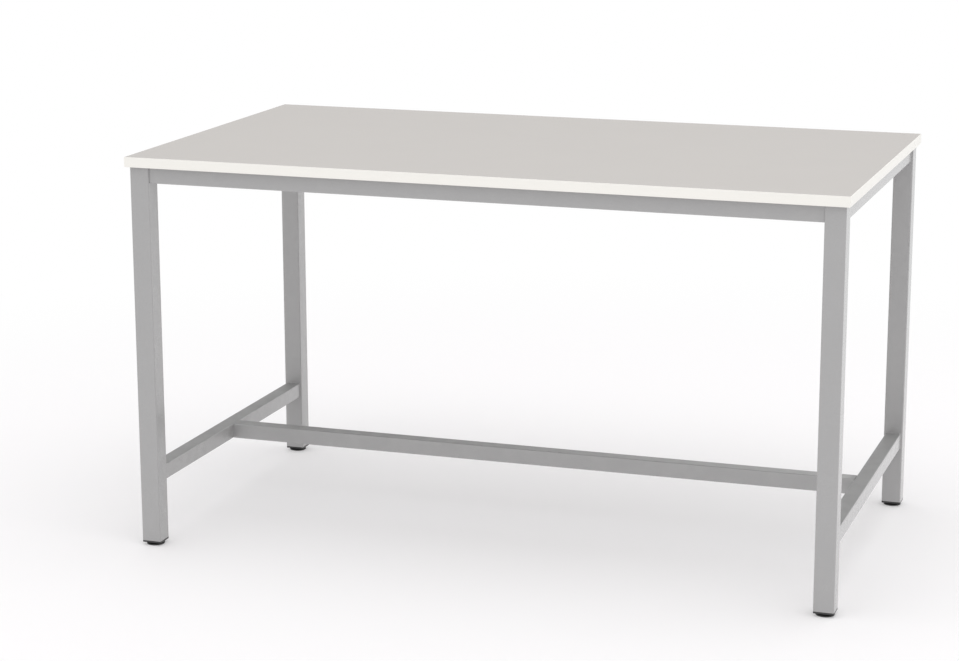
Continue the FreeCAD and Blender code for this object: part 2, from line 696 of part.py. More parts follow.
def build_feet():
    """Insert, bush, stud, base and sole of each leg."""
    insert = leg_insert()
    bush = thread_bush()
    stud = foot_stud()
    base = foot_base()
    sole = cylinder(SOLE_RADIUS, SOLE_THICKNESS)
    bushes = []
    for name, (side_x, side_y) in CORNERS.items():
        floor = Vector(side_x * LEG_X, side_y * LEG_Y, 0)
        under_leg = floor + Z_AXIS * INSERT_BOTTOM
        save("leg_insert_" + name, moved(insert, under_leg))
        bushes.append(moved(bush, under_leg))
        save("foot_stud_" + name, moved(stud, floor))
        save("foot_base_" + name, moved(base, floor))
        save("foot_sole_" + name, moved(sole, floor))
    save("foot_bushes", group(bushes))


os.makedirs("parts", exist_ok=True)
build_board()
build_legs()
build_top_rails()
build_lower_rails()
build_beam()
build_corner_brackets()
build_cleats()
build_fixings()
build_feet()
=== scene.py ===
"""Standing meeting table: its finishes, its fine detail and a plain studio.

Metres, +Z up.  The origin is on the floor, under the middle of the worktop,
+X runs along the worktop's length and -Y is the front.
"""
import logging
import math
from dataclasses import dataclass
from enum import Enum
from typing import Any, Iterable, Mapping, Optional, Sequence, Union

import bmesh
import bpy
from mathutils import Matrix, Vector


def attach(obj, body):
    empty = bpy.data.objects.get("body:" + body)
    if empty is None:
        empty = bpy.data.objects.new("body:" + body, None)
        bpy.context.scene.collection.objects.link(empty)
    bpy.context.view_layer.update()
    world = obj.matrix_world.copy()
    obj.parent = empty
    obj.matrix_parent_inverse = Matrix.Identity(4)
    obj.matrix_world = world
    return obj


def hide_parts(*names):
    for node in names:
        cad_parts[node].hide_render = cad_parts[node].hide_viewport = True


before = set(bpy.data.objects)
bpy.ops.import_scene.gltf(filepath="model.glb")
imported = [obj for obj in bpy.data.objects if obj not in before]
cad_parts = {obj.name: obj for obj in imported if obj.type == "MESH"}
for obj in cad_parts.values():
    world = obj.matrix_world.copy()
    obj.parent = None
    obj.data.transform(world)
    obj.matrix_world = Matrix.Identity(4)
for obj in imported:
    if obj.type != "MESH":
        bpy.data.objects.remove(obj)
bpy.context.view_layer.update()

MM = 0.001
FULL_TURN = 2 * math.pi
QUARTER_TURN = FULL_TURN / 4
WHITE = (1.0, 1.0, 1.0, 1.0)

# Points of a mesh in millimetres that are closer than this are one point.
MERGE_DISTANCE = 1e-4

# Millimetres from the table's middle to the middle of a leg.
LEG_X = 865.0
LEG_Y = 465.0

log = logging.getLogger("meeting_table")

Colour = tuple[float, float, float]
Operand = Union["Value", float]


# -------------------------------- named choices
class Corner(Enum):
    """A corner of the table, with the signs of its X and Y."""

    FRONT_LEFT = (-1, -1)
    FRONT_RIGHT = (1, -1)
    BACK_LEFT = (-1, 1)
    BACK_RIGHT = (1, 1)

    @property
    def label(self) -> str:
        """The corner's name in the names of parts."""
        return self.name.lower()


class Side(Enum):
    """A side of the table, by its name in the names of parts."""

    FRONT = "front"
    BACK = "back"
    LEFT = "left"
    RIGHT = "right"


class WeldRun(Enum):
    """How many sides of a square tube a weld bead runs along."""

    OPEN_AT_BOARD = 3
    ALL_ROUND = 4


# -------------------------------- shader graphs
class Value:
    """A shader socket that takes part in Python arithmetic."""

    def __init__(self, graph: "Graph", socket: bpy.types.NodeSocket) -> None:
        """Wrap a socket of a graph."""
        self.graph = graph
        self.socket = socket

    def __add__(self, other: Operand) -> "Value":
        """Sum of both."""
        return self.graph.maths("ADD", self, other)

    def __radd__(self, other: Operand) -> "Value":
        """Sum of both."""
        return self.graph.maths("ADD", other, self)

    def __sub__(self, other: Operand) -> "Value":
        """This less the other."""
        return self.graph.maths("SUBTRACT", self, other)

    def __rsub__(self, other: Operand) -> "Value":
        """The other less this."""
        return self.graph.maths("SUBTRACT", other, self)

    def __mul__(self, other: Operand) -> "Value":
        """Product of both."""
        return self.graph.maths("MULTIPLY", self, other)

    def __rmul__(self, other: Operand) -> "Value":
        """Product of both."""
        return self.graph.maths("MULTIPLY", other, self)

    def __pow__(self, other: Operand) -> "Value":
        """This to the power of the other."""
        return self.graph.maths("POWER", self, other)

    def __abs__(self) -> "Value":
        """This without its sign."""
        return self.graph.maths("ABSOLUTE", self)

    def swing(self, width: float) -> "Value":
        """A swing of a given width about zero, for a value from 0 to 1."""
        return width * (self - 0.5)

    def blend(self, share: float, rest: "Value") -> "Value":
        """This at a share of the whole, and another value for the rest."""
        return self * share + rest * (1 - share)


class Graph:
    """The nodes of one material or world."""

    # Sockets of a Mix node that mixes colours.
    MIX_FACTOR = 0
    MIX_FIRST = 6
    MIX_SECOND = 7
    MIX_RESULT = 2

    def __init__(self, tree: bpy.types.NodeTree) -> None:
        """Take over a node tree and empty it."""
        self.tree = tree
        tree.nodes.clear()

    def add(
        self,
        kind: str,
        settings: Optional[Mapping[str, Any]] = None,
        inputs: Optional[Mapping[Any, Any]] = None,
    ) -> bpy.types.Node:
        """Add one node.

        Args:
            kind: Blender's name of the node's type.
            settings: the node's own settings, which are set first.
            inputs: values, sockets or wrapped sockets, by socket name or place.

        Returns:
            The new node.
        """
        node = self.tree.nodes.new(kind)
        for name, setting in (settings or {}).items():
            setattr(node, name, setting)
        for key, given in (inputs or {}).items():
            source = given.socket if isinstance(given, Value) else given
            if isinstance(source, bpy.types.NodeSocket):
                self.tree.links.new(source, node.inputs[key])
            else:
                node.inputs[key].default_value = source
        return node

    def maths(self, operation: str, *operands: Operand) -> Value:
        """Work out numbers with one Math node.

        Args:
            operation: Blender's name of the operation.
            operands: what it works on.

        Returns:
            The result.
        """
        node = self.add(
            "ShaderNodeMath", {"operation": operation}, dict(enumerate(operands))
        )
        return Value(self, node.outputs[0])

    def place(self) -> bpy.types.NodeSocket:
        """Socket of the place on the object."""
        return self.add("ShaderNodeTexCoord").outputs["Object"]

    def parts(self, vector: bpy.types.NodeSocket) -> list[Value]:
        """The three numbers of a vector or colour socket."""
        node = self.add("ShaderNodeSeparateXYZ", inputs={0: vector})
        return [Value(self, socket) for socket in node.outputs]

    def axes(self) -> list[Value]:
        """X, Y and Z of the place on the object."""
        return self.parts(self.place())

    def stretched(self, factors: Sequence[float]) -> bpy.types.NodeSocket:
        """Scale the place on the object.

        Args:
            factors: the scale along each axis.

        Returns:
            Socket of the scaled place.
        """
        node = self.add(
            "ShaderNodeMapping",
            inputs={"Vector": self.place(), "Scale": tuple(factors)},
        )
        return node.outputs[0]

    def noise(
        self,
        grain: float,
        detail: float = 2.0,
        stretch: Sequence[float] = (1.0, 1.0, 1.0),
    ) -> Value:
        """Smooth noise from 0 to 1.

        Args:
            grain: size of one blotch, in metres.
            detail: how many finer layers it has.
            stretch: scale of the pattern along each axis.

        Returns:
            The noise value.
        """
        node = self.add(
            "ShaderNodeTexNoise",
            inputs={
                "Vector": self.stretched(stretch),
                "Scale": 1.0 / grain,
                "Detail": detail,
            },
        )
        return Value(self, node.outputs["Fac"])

    def cells(self, size: float, stretch: Sequence[float] = (1.0, 1.0, 1.0)) -> Value:
        """Split space into cells that each have a random number from 0 to 1.

        Args:
            size: size of one cell, in metres.
            stretch: scale of the pattern along each axis.

        Returns:
            The cell's number.
        """
        node = self.add(
            "ShaderNodeTexVoronoi",
            inputs={"Vector": self.stretched(stretch), "Scale": 1.0 / size},
        )
        return self.parts(node.outputs["Color"])[0]

    def ramp(self, value: Operand, low: float, high: float) -> Value:
        """Smooth step from 0 to 1.

        Args:
            value: what the step depends on.
            low: where it leaves 0.
            high: where it reaches 1.

        Returns:
            The step's height.
        """
        node = self.add(
            "ShaderNodeMapRange",
            {"interpolation_type": "SMOOTHSTEP"},
            {"Value": value, "From Min": low, "From Max": high},
        )
        return Value(self, node.outputs[0])

    def mixed(self, factor: Operand, first: Any, second: Any) -> bpy.types.NodeSocket:
        """Mix two colours.

        Args:
            factor: 0 for the first colour, 1 for the second.
            first: a colour or a colour socket.
            second: a colour or a colour socket.

        Returns:
            Socket of the mixed colour.
        """
        node = self.add(
            "ShaderNodeMix",
            {"data_type": "RGBA"},
            {
                self.MIX_FACTOR: factor,
                self.MIX_FIRST: self.opaque(first),
                self.MIX_SECOND: self.opaque(second),
            },
        )
        return node.outputs[self.MIX_RESULT]

    @staticmethod
    def opaque(colour: Any) -> Any:
        """A colour with its alpha, or the socket that was given."""
        return (*colour, 1.0) if isinstance(colour, tuple) else colour

    def bump(self, height: Operand, depth: float) -> bpy.types.NodeSocket:
        """Normal of a surface with a height from 0 to 1 over a depth in metres."""
        node = self.add("ShaderNodeBump", inputs={"Height": height, "Distance": depth})
        return node.outputs[0]


def shaded(colour: Colour, factor: float) -> Colour:
    """A colour made lighter or darker by a factor."""
    red, green, blue = colour
    return (red * factor, green * factor, blue * factor)


# -------------------------------- finishes
@dataclass(frozen=True)
class Finish:
    """A surface finish, with its colour, its gloss and how far its tone varies."""

    name: str
    colour: Colour
    roughness: float
    darkest: float = 1.0
    palest: float = 1.0

    def toned(self, graph: Graph, tone: Value) -> bpy.types.NodeSocket:
        """The colour from its darkest at tone 0 to its palest at tone 1."""
        dark, pale = (shaded(self.colour, share) for share in (self.darkest, self.palest))
        return graph.mixed(tone, dark, pale)

    def sockets(self, graph: Graph) -> dict[str, Any]:
        """Values and links by socket name."""
        raise NotImplementedError

    def material(self) -> bpy.types.Material:
        """Make the finish.

        Returns:
            The finish as a material.
        """
        material = bpy.data.materials.new(self.name)
        material.use_nodes = True
        graph = Graph(material.node_tree)
        shader = graph.add("ShaderNodeBsdfPrincipled", inputs=self.sockets(graph))
        graph.add("ShaderNodeOutputMaterial", inputs={0: shader.outputs[0]})
        return material


@dataclass(frozen=True)
class PowderCoat(Finish):
    """Powder coating with a fine orange-peel surface and a faint flake.

    Where it faces up on the low rails its colour is painted darker as painted shade, and it
    is rougher there under less clear skin.
    """

    darkest: float = 0.95
    palest: float = 1.05
    peel: float = 1.1 * MM
    peel_depth: float = 0.012 * MM
    peel_swing: float = 0.05
    flake: float = 0.28 * MM
    flake_share: float = 0.55
    cloud: float = 90 * MM
    cloud_swing: float = 0.06
    clear: float = 0.8
    # The fields from here on set the painted shade on the low rails' upward faces: a darker
    # colour, strongest at the end rails and towards the left, with more roughness and less
    # clear skin there.
    dulled_roughness: float = 0.45
    painted_shade_share: float = 0.65
    low_faces_level: float = 250 * MM
    upward: tuple[float, float] = (0.6, 0.95)
    edge: float = 20 * MM
    lower_rail_x: float = 845 * MM
    foot_rail_reach: float = 700 * MM
    least_shade: float = 0.55
    most_shade: float = 0.87
    patch: float = 30 * MM
    patch_edge: tuple[float, float] = (0.3, 0.7)
    patch_share: float = 0.14

    def painted_shade_and_dulling(self, graph: Graph) -> Value:
        """Spread the painted shade and dulling over the low rails' upward faces: the right
        half of the foot rail has the least.

        Args:
            graph: the material's nodes.

        Returns:
            How much the coating is painted darker and dulled, from 0 to 1.
        """
        along, _, height = graph.axes()
        normal = graph.add("ShaderNodeNewGeometry").outputs["True Normal"]
        upward = graph.ramp(graph.parts(normal)[2], *self.upward)
        low = 1 - graph.ramp(height, self.low_faces_level, self.low_faces_level + self.edge)
        patches = graph.ramp(graph.noise(self.patch, detail=4.0), *self.patch_edge)
        # Painted shade and painted shadow: strongest on the end rails and towards the left
        # end of the foot rail.
        on_end = graph.ramp(abs(along), self.lower_rail_x - self.edge, self.lower_rail_x)
        on_left = 1 - graph.ramp(along, -self.foot_rail_reach, self.foot_rail_reach)
        strongest = graph.maths("MAXIMUM", on_end, on_left)
        shade_strength = self.least_shade + (self.most_shade - self.least_shade) * strongest
        return upward * low * shade_strength * (1 - self.patch_share + self.patch_share * patches)

    def sockets(self, graph: Graph) -> dict[str, Any]:
        """Flaked grey under a clear skin, dulled and painted darker as painted shade on the
        low rails' upward faces.

        Args:
            graph: the material's nodes.

        Returns:
            Values and links by socket name.
        """
        peel = graph.noise(self.peel, detail=1.0)
        flake = graph.cells(self.flake)
        cloud = graph.noise(self.cloud)
        shade_and_dull = self.painted_shade_and_dulling(graph)
        new = self.toned(graph, flake.blend(self.flake_share, cloud))
        # The darker colour of the painted shade on the low rails' upward faces.
        painted_shade_colour = shaded(self.colour, self.painted_shade_share)
        gloss = self.roughness + cloud.swing(self.cloud_swing) + peel.swing(self.peel_swing)
        return {
            # Base colour goes from the coating's own tone to the painted shade where the mask
            # is high.
            "Base Color": graph.mixed(shade_and_dull, new, painted_shade_colour),
            "Roughness": gloss + self.dulled_roughness * shade_and_dull,
            "Coat Weight": self.clear * (1 - shade_and_dull),
            "Coat Roughness": self.roughness,
            "Normal": graph.bump(peel, self.peel_depth),
        }


@dataclass(frozen=True)
class Melamine(Finish):
    """Melamine sheet with a fine pearl texture and a glue line at its edge."""

    darkest: float = 0.965
    palest: float = 1.035
    half_length: float = 899 * MM
    half_depth: float = 499 * MM
    glue_line: float = 0.25 * MM
    glue_cover: float = 0.55
    glue_shade: float = 0.45
    pearl: float = 0.55 * MM
    pearl_depth: float = 0.010 * MM
    pearl_share: float = 0.25
    pearl_swing: float = 0.08
    speckle: float = 0.4 * MM
    speckle_share: float = 0.35
    cloud: float = 140 * MM
    cloud_share: float = 0.4

    def sockets(self, graph: Graph) -> dict[str, Any]:
        """Pearl and speckle over a faint cloud, with the glue at the sheet's edge.

        Args:
            graph: the material's nodes.

        Returns:
            Values and links by socket name.
        """
        pearl = graph.noise(self.pearl)
        speckle = graph.cells(self.speckle) * self.speckle_share
        cloud = graph.noise(self.cloud, detail=3.0) * self.cloud_share
        face = self.toned(graph, speckle + pearl * self.pearl_share + cloud)
        x, y, _ = graph.axes()
        beyond = graph.maths(
            "MAXIMUM", abs(x) - self.half_length, abs(y) - self.half_depth
        )
        glue = graph.ramp(beyond, -self.glue_line, 0.0) * self.glue_cover
        return {
            "Base Color": graph.mixed(glue, face, shaded(self.colour, self.glue_shade)),
            "Roughness": self.roughness + pearl.swing(self.pearl_swing),
            "Normal": graph.bump(pearl, self.pearl_depth),
        }


@dataclass(frozen=True)
class EdgeBand(Finish):
    """Extruded edge band with a fine satin grain."""

    darkest: float = 0.98
    palest: float = 1.02
    grain: float = 0.5 * MM
    grain_depth: float = 0.008 * MM
    grain_share: float = 0.5
    grain_swing: float = 0.08
    cloud: float = 60 * MM

    def sockets(self, graph: Graph) -> dict[str, Any]:
        """Satin grain over a faint cloud.

        Args:
            graph: the material's nodes.

        Returns:
            Values and links by socket name.
        """
        grain = graph.noise(self.grain)
        cloud = graph.noise(self.cloud)
        return {
            "Base Color": self.toned(graph, grain.blend(self.grain_share, cloud)),
            "Roughness": self.roughness + grain.swing(self.grain_swing),
            "Normal": graph.bump(grain, self.grain_depth),
        }


@dataclass(frozen=True)
class ChipBoard(Finish):
    """Raw particle board, with flat chips of several browns."""

    dark: Colour = (0.27, 0.17, 0.085)
    chip: float = 3.0 * MM
    chip_stretch: tuple[float, float, float] = (1.0, 1.0, 3.0)
    chip_share: float = 0.6
    chip_relief: float = 0.5
    dust: float = 0.8 * MM
    dust_swing: float = 0.1
    depth: float = 0.15 * MM

    def sockets(self, graph: Graph) -> dict[str, Any]:
        """Chips pressed flat, with fine dust between them.

        Args:
            graph: the material's nodes.

        Returns:
            Values and links by socket name.
        """
        chips = graph.cells(self.chip, self.chip_stretch)
        dust = graph.noise(self.dust, detail=3.0)
        tone = chips.blend(self.chip_share, dust)
        return {
            "Base Color": graph.mixed(tone, self.dark, self.colour),
            "Roughness": self.roughness + dust.swing(self.dust_swing),
            "Normal": graph.bump(chips.blend(self.chip_relief, dust), self.depth),
        }


@dataclass(frozen=True)
class PlatedSteel(Finish):
    """Zinc-plated steel, with a faint cloudy tint and fine rolling marks."""

    tint: Colour = (0.50, 0.55, 0.62)
    cloud: float = 9 * MM
    cloud_share: float = 0.7
    cloud_swing: float = 0.14
    marks: float = 0.6 * MM
    marks_stretch: tuple[float, float, float] = (1.0, 1.0, 0.2)
    marks_depth: float = 0.006 * MM
    marks_swing: float = 0.1

    def sockets(self, graph: Graph) -> dict[str, Any]:
        """Bluish clouds crossed by the marks of the rolls.

        Args:
            graph: the material's nodes.

        Returns:
            Values and links by socket name.
        """
        cloud = graph.noise(self.cloud, detail=3.0)
        marks = graph.noise(self.marks, stretch=self.marks_stretch)
        gloss = self.roughness + cloud.swing(self.cloud_swing) + marks.swing(self.marks_swing)
        tone = cloud.blend(self.cloud_share, marks)
        return {
            "Base Color": graph.mixed(tone, self.tint, self.colour),
            "Metallic": 1.0,
            "Roughness": gloss,
            "Normal": graph.bump(marks, self.marks_depth),
        }


@dataclass(frozen=True)
class TurnedSteel(Finish):
    """Turned steel, with the tool's fine rings up the axis."""

    darkest: float = 0.85
    ring_pitch: float = 0.25 * MM
    ring_depth: float = 0.01 * MM
    ring_share: float = 0.4
    ring_swing: float = 0.1
    cloud: float = 4 * MM

    def sockets(self, graph: Graph) -> dict[str, Any]:
        """Rings as a wave from 0 to 1 up the axis, over a faint cloud.

        Args:
            graph: the material's nodes.

        Returns:
            Values and links by socket name.
        """
        _, _, height = graph.axes()
        wave = graph.maths("SINE", height * (FULL_TURN / self.ring_pitch))
        rings = wave * 0.5 + 0.5
        cloud = graph.noise(self.cloud)
        return {
            "Base Color": self.toned(graph, rings.blend(self.ring_share, cloud)),
            "Metallic": 1.0,
            "Roughness": self.roughness + rings.swing(self.ring_swing),
            "Normal": graph.bump(rings, self.ring_depth),
        }


@dataclass(frozen=True)
class ThreadSteel(Finish):
    """Plated thread, darker and duller down in its roots."""

    darkest: float = 0.42
    axis_x: float = LEG_X * MM
    axis_y: float = LEG_Y * MM
    root: float = 4.1 * MM
    root_dullness: float = 0.16
    crest: float = 4.9 * MM
    crest_share: float = 0.8
    cloud: float = 2.5 * MM
    cloud_depth: float = 0.01 * MM
    cloud_swing: float = 0.12

    def sockets(self, graph: Graph) -> dict[str, Any]:
        """Bright crests and dull roots, by the distance from the stud's axis.

        Args:
            graph: the material's nodes.

        Returns:
            Values and links by socket name.
        """
        x, y, _ = graph.axes()
        out_x = abs(x) - self.axis_x
        out_y = abs(y) - self.axis_y
        radius = (out_x * out_x + out_y * out_y) ** 0.5
        crest = graph.ramp(radius, self.root, self.crest)
        cloud = graph.noise(self.cloud, detail=3.0)
        dullness = self.root_dullness * (1 - crest)
        return {
            "Base Color": self.toned(graph, crest.blend(self.crest_share, cloud)),
            "Metallic": 1.0,
            "Roughness": self.roughness + dullness + cloud.swing(self.cloud_swing),
            "Normal": graph.bump(cloud, self.cloud_depth),
        }


@dataclass(frozen=True)
class MouldedNylon(Finish):
    """Black nylon with the fine spark texture of its mould."""

    darkest: float = 0.8
    palest: float = 1.3
    spark: float = 0.35 * MM
    spark_depth: float = 0.02 * MM
    spark_swing: float = 0.16
    cloud: float = 12 * MM
    cloud_share: float = 0.6
    cloud_swing: float = 0.08

    def sockets(self, graph: Graph) -> dict[str, Any]:
        """Spark texture over a faint cloud.

        Args:
            graph: the material's nodes.

        Returns:
            Values and links by socket name.
        """
        spark = graph.noise(self.spark)
        cloud = graph.noise(self.cloud)
        gloss = self.roughness + spark.swing(self.spark_swing) + cloud.swing(self.cloud_swing)
        return {
            "Base Color": self.toned(graph, cloud.blend(self.cloud_share, spark)),
            "Roughness": gloss,
            "Normal": graph.bump(spark, self.spark_depth),
        }


@dataclass(frozen=True)
class SoleRubber(Finish):
    """Dull rubber with a little dust in its grain."""

    grain: float = 0.5 * MM
    grain_depth: float = 0.03 * MM
    grain_swing: float = 0.1
    dust: Colour = (0.12, 0.115, 0.11)
    dust_cover: float = 0.6
    patch: float = 5 * MM
    patch_edge: tuple[float, float] = (0.45, 0.75)

    def sockets(self, graph: Graph) -> dict[str, Any]:
        """Grained rubber under patches of dust.

        Args:
            graph: the material's nodes.

        Returns:
            Values and links by socket name.
        """
        grain = graph.noise(self.grain, detail=3.0)
        patches = graph.ramp(graph.noise(self.patch, detail=3.0), *self.patch_edge)
        return {
            "Base Color": graph.mixed(patches * self.dust_cover, self.colour, self.dust),
            "Roughness": self.roughness + grain.swing(self.grain_swing),
            "Normal": graph.bump(grain, self.grain_depth),
        }


@dataclass(frozen=True)
class Finishes:
    """Every finish of the table, as materials."""

    core: bpy.types.Material
    top: bpy.types.Material
    balance: bpy.types.Material
    band: bpy.types.Material
    coating: bpy.types.Material
    plate: bpy.types.Material
    screw: bpy.types.Material
    insert: bpy.types.Material
    bush: bpy.types.Material
    stud: bpy.types.Material
    foot: bpy.types.Material
    sole: bpy.types.Material

    @classmethod
    def mixed_up(cls) -> "Finishes":
        """Make each finish once, from its name, colour and roughness.

        Returns:
            The set of materials.
        """
        recipes = {
            "core": ChipBoard("raw_chipboard", (0.58, 0.43, 0.26), 0.8),
            "top": Melamine("greige_melamine", (0.472, 0.449, 0.428), 0.5),
            "balance": Melamine("greige_backing_sheet", (0.41, 0.39, 0.372), 0.55),
            "band": EdgeBand("white_edge_band", (0.915, 0.90, 0.852), 0.3),
            "coating": PowderCoat("silver_grey_coating", (0.388, 0.386, 0.386), 0.27),
            "plate": PlatedSteel("zinc_plate", (0.66, 0.66, 0.65), 0.38),
            "screw": PlatedSteel("zinc_screw", (0.60, 0.60, 0.60), 0.3),
            "insert": MouldedNylon("black_insert_nylon", (0.035, 0.035, 0.035), 0.24),
            "bush": TurnedSteel("turned_bush_steel", (0.58, 0.57, 0.55), 0.34),
            "stud": ThreadSteel("plated_thread", (0.58, 0.59, 0.60), 0.3),
            "foot": MouldedNylon("black_foot_nylon", (0.03, 0.03, 0.03), 0.45),
            "sole": SoleRubber("dull_sole_rubber", (0.035, 0.035, 0.035), 0.85),
        }
        return cls(**{use: recipe.material() for use, recipe in recipes.items()})


# -------------------------------- mesh helpers
def chain(bm: bmesh.types.BMesh, points: Iterable[tuple[float, float]]) -> None:
    """Draw an open outline beside the Z axis.

    Args:
        bm: the mesh to draw in.
        points: the outline as (radius, height).
    """
    verts = [bm.verts.new((radius, 0.0, height)) for radius, height in points]
    for before, after in zip(verts, verts[1:]):
        bm.edges.new((before, after))


def turned(bm: bmesh.types.BMesh, steps: int, rise: float = 0.0) -> None:
    """Turn an outline once about Z.

    Args:
        bm: the mesh that holds the outline.
        steps: faces round the turn.
        rise: how far a helical turn climbs, or 0 for a turn that closes.
    """
    bmesh.ops.spin(
        bm,
        geom=[*bm.verts, *bm.edges],
        cent=(0, 0, 0),
        axis=(0, 0, 1),
        dvec=(0, 0, rise / steps),
        angle=FULL_TURN,
        steps=steps,
        use_merge=not rise,
    )


def merged(bm: bmesh.types.BMesh) -> None:
    """Make one point of points that lie together."""
    bmesh.ops.remove_doubles(bm, verts=bm.verts[:], dist=MERGE_DISTANCE)


def outward(bm: bmesh.types.BMesh) -> None:
    """Turn every face outwards."""
    bmesh.ops.recalc_face_normals(bm, faces=bm.faces[:])


def moved(bm: bmesh.types.BMesh, matrix: Matrix) -> None:
    """Move a mesh by a matrix."""
    bmesh.ops.transform(bm, matrix=matrix, verts=bm.verts[:])


def lathe(points: Iterable[tuple[float, float]], steps: int) -> bmesh.types.BMesh:
    """Round piece turned about Z.

    Args:
        points: its outline as (radius, height), from axis to axis.
        steps: faces round the turn.

    Returns:
        The closed mesh.
    """
    bm = bmesh.new()
    chain(bm, points)
    turned(bm, steps)
    merged(bm)
    outward(bm)
    return bm


def trim(bm: bmesh.types.BMesh, point: Sequence[float], away: Sequence[float]) -> None:
    """Cut off what lies beyond a plane and close the cut.

    Args:
        bm: the mesh to cut.
        point: a point of the plane.
        away: the plane's normal, towards what is cut off.
    """
    cut = bmesh.ops.bisect_plane(
        bm,
        geom=[*bm.verts, *bm.edges, *bm.faces],
        dist=MERGE_DISTANCE,
        plane_co=point,
        plane_no=away,
        clear_outer=True,
    )
    rim = [part for part in cut["geom_cut"] if isinstance(part, bmesh.types.BMEdge)]
    if rim:
        bmesh.ops.edgeloop_fill(bm, edges=rim)


def joined(meshes: Iterable[bmesh.types.BMesh]) -> bmesh.types.BMesh:
    """Put several meshes into one.

    Args:
        meshes: the meshes, which are freed.

    Returns:
        The mesh that holds them all.
    """
    together = bmesh.new()
    for bm in meshes:
        passing = bpy.data.meshes.new("passing")
        bm.to_mesh(passing)
        together.from_mesh(passing)
        bpy.data.meshes.remove(passing)
        bm.free()
    return together


# -------------------------------- objects
def into_scene(name: str, data: bpy.types.ID) -> bpy.types.Object:
    """Put a mesh, a lamp or a camera into the scene.

    Args:
        name: the object's name.
        data: what the object holds.

    Returns:
        The new object.
    """
    thing = bpy.data.objects.new(name, data)
    bpy.context.scene.collection.objects.link(thing)
    return thing


@dataclass(frozen=True)
class PieceLabel:
    """What a new piece is called and where it belongs."""

    name: str
    body: str
    slot: str


def make_piece(
    label: PieceLabel,
    bm: bmesh.types.BMesh,
    material: bpy.types.Material,
    place: Sequence[float] = (0.0, 0.0, 0.0),
    crease: float = 35.0,
) -> bpy.types.Object:
    """Turn a mesh in millimetres into a piece that rides on a body.

    Args:
        label: the piece's name and body; its material slot is not used.
        bm: its mesh, which is freed.
        material: its finish.
        place: where its origin goes, in metres.
        crease: edges sharper than this many degrees stay sharp.

    Returns:
        The new object.
    """
    moved(bm, Matrix.Translation(place) @ Matrix.Scale(MM, 4))
    limit = math.radians(crease)
    for face in bm.faces:
        face.smooth = True
    for edge in bm.edges:
        edge.smooth = edge.calc_face_angle(0.0) < limit
    mesh = bpy.data.meshes.new(label.name)
    bm.to_mesh(mesh)
    bm.free()
    mesh.materials.append(material)
    piece = into_scene(label.name, mesh)
    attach(piece, label.body)
    log.info("made %s with %d faces", label.name, len(mesh.polygons))
    return piece


def dress(material: bpy.types.Material, *nodes: str) -> None:
    """Give solids a finish.

    Args:
        material: the finish.
        nodes: the solids' names.
    """
    for node in nodes:
        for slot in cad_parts[node].material_slots:
            slot.material = material
        log.info("dressed %s in %s", node, material.name)


# -------------------------------- worktop
@dataclass
class Worktop:
    """The board: core, both sheets and the four strips of edge band."""

    finishes: Finishes

    def build(self) -> None:
        """Dress the board."""
        dress(self.finishes.core, "worktop_core")
        dress(self.finishes.top, "worktop_top_laminate")
        dress(self.finishes.balance, "worktop_bottom_laminate")
        dress(self.finishes.band, *("edge_band_" + side.value for side in Side))


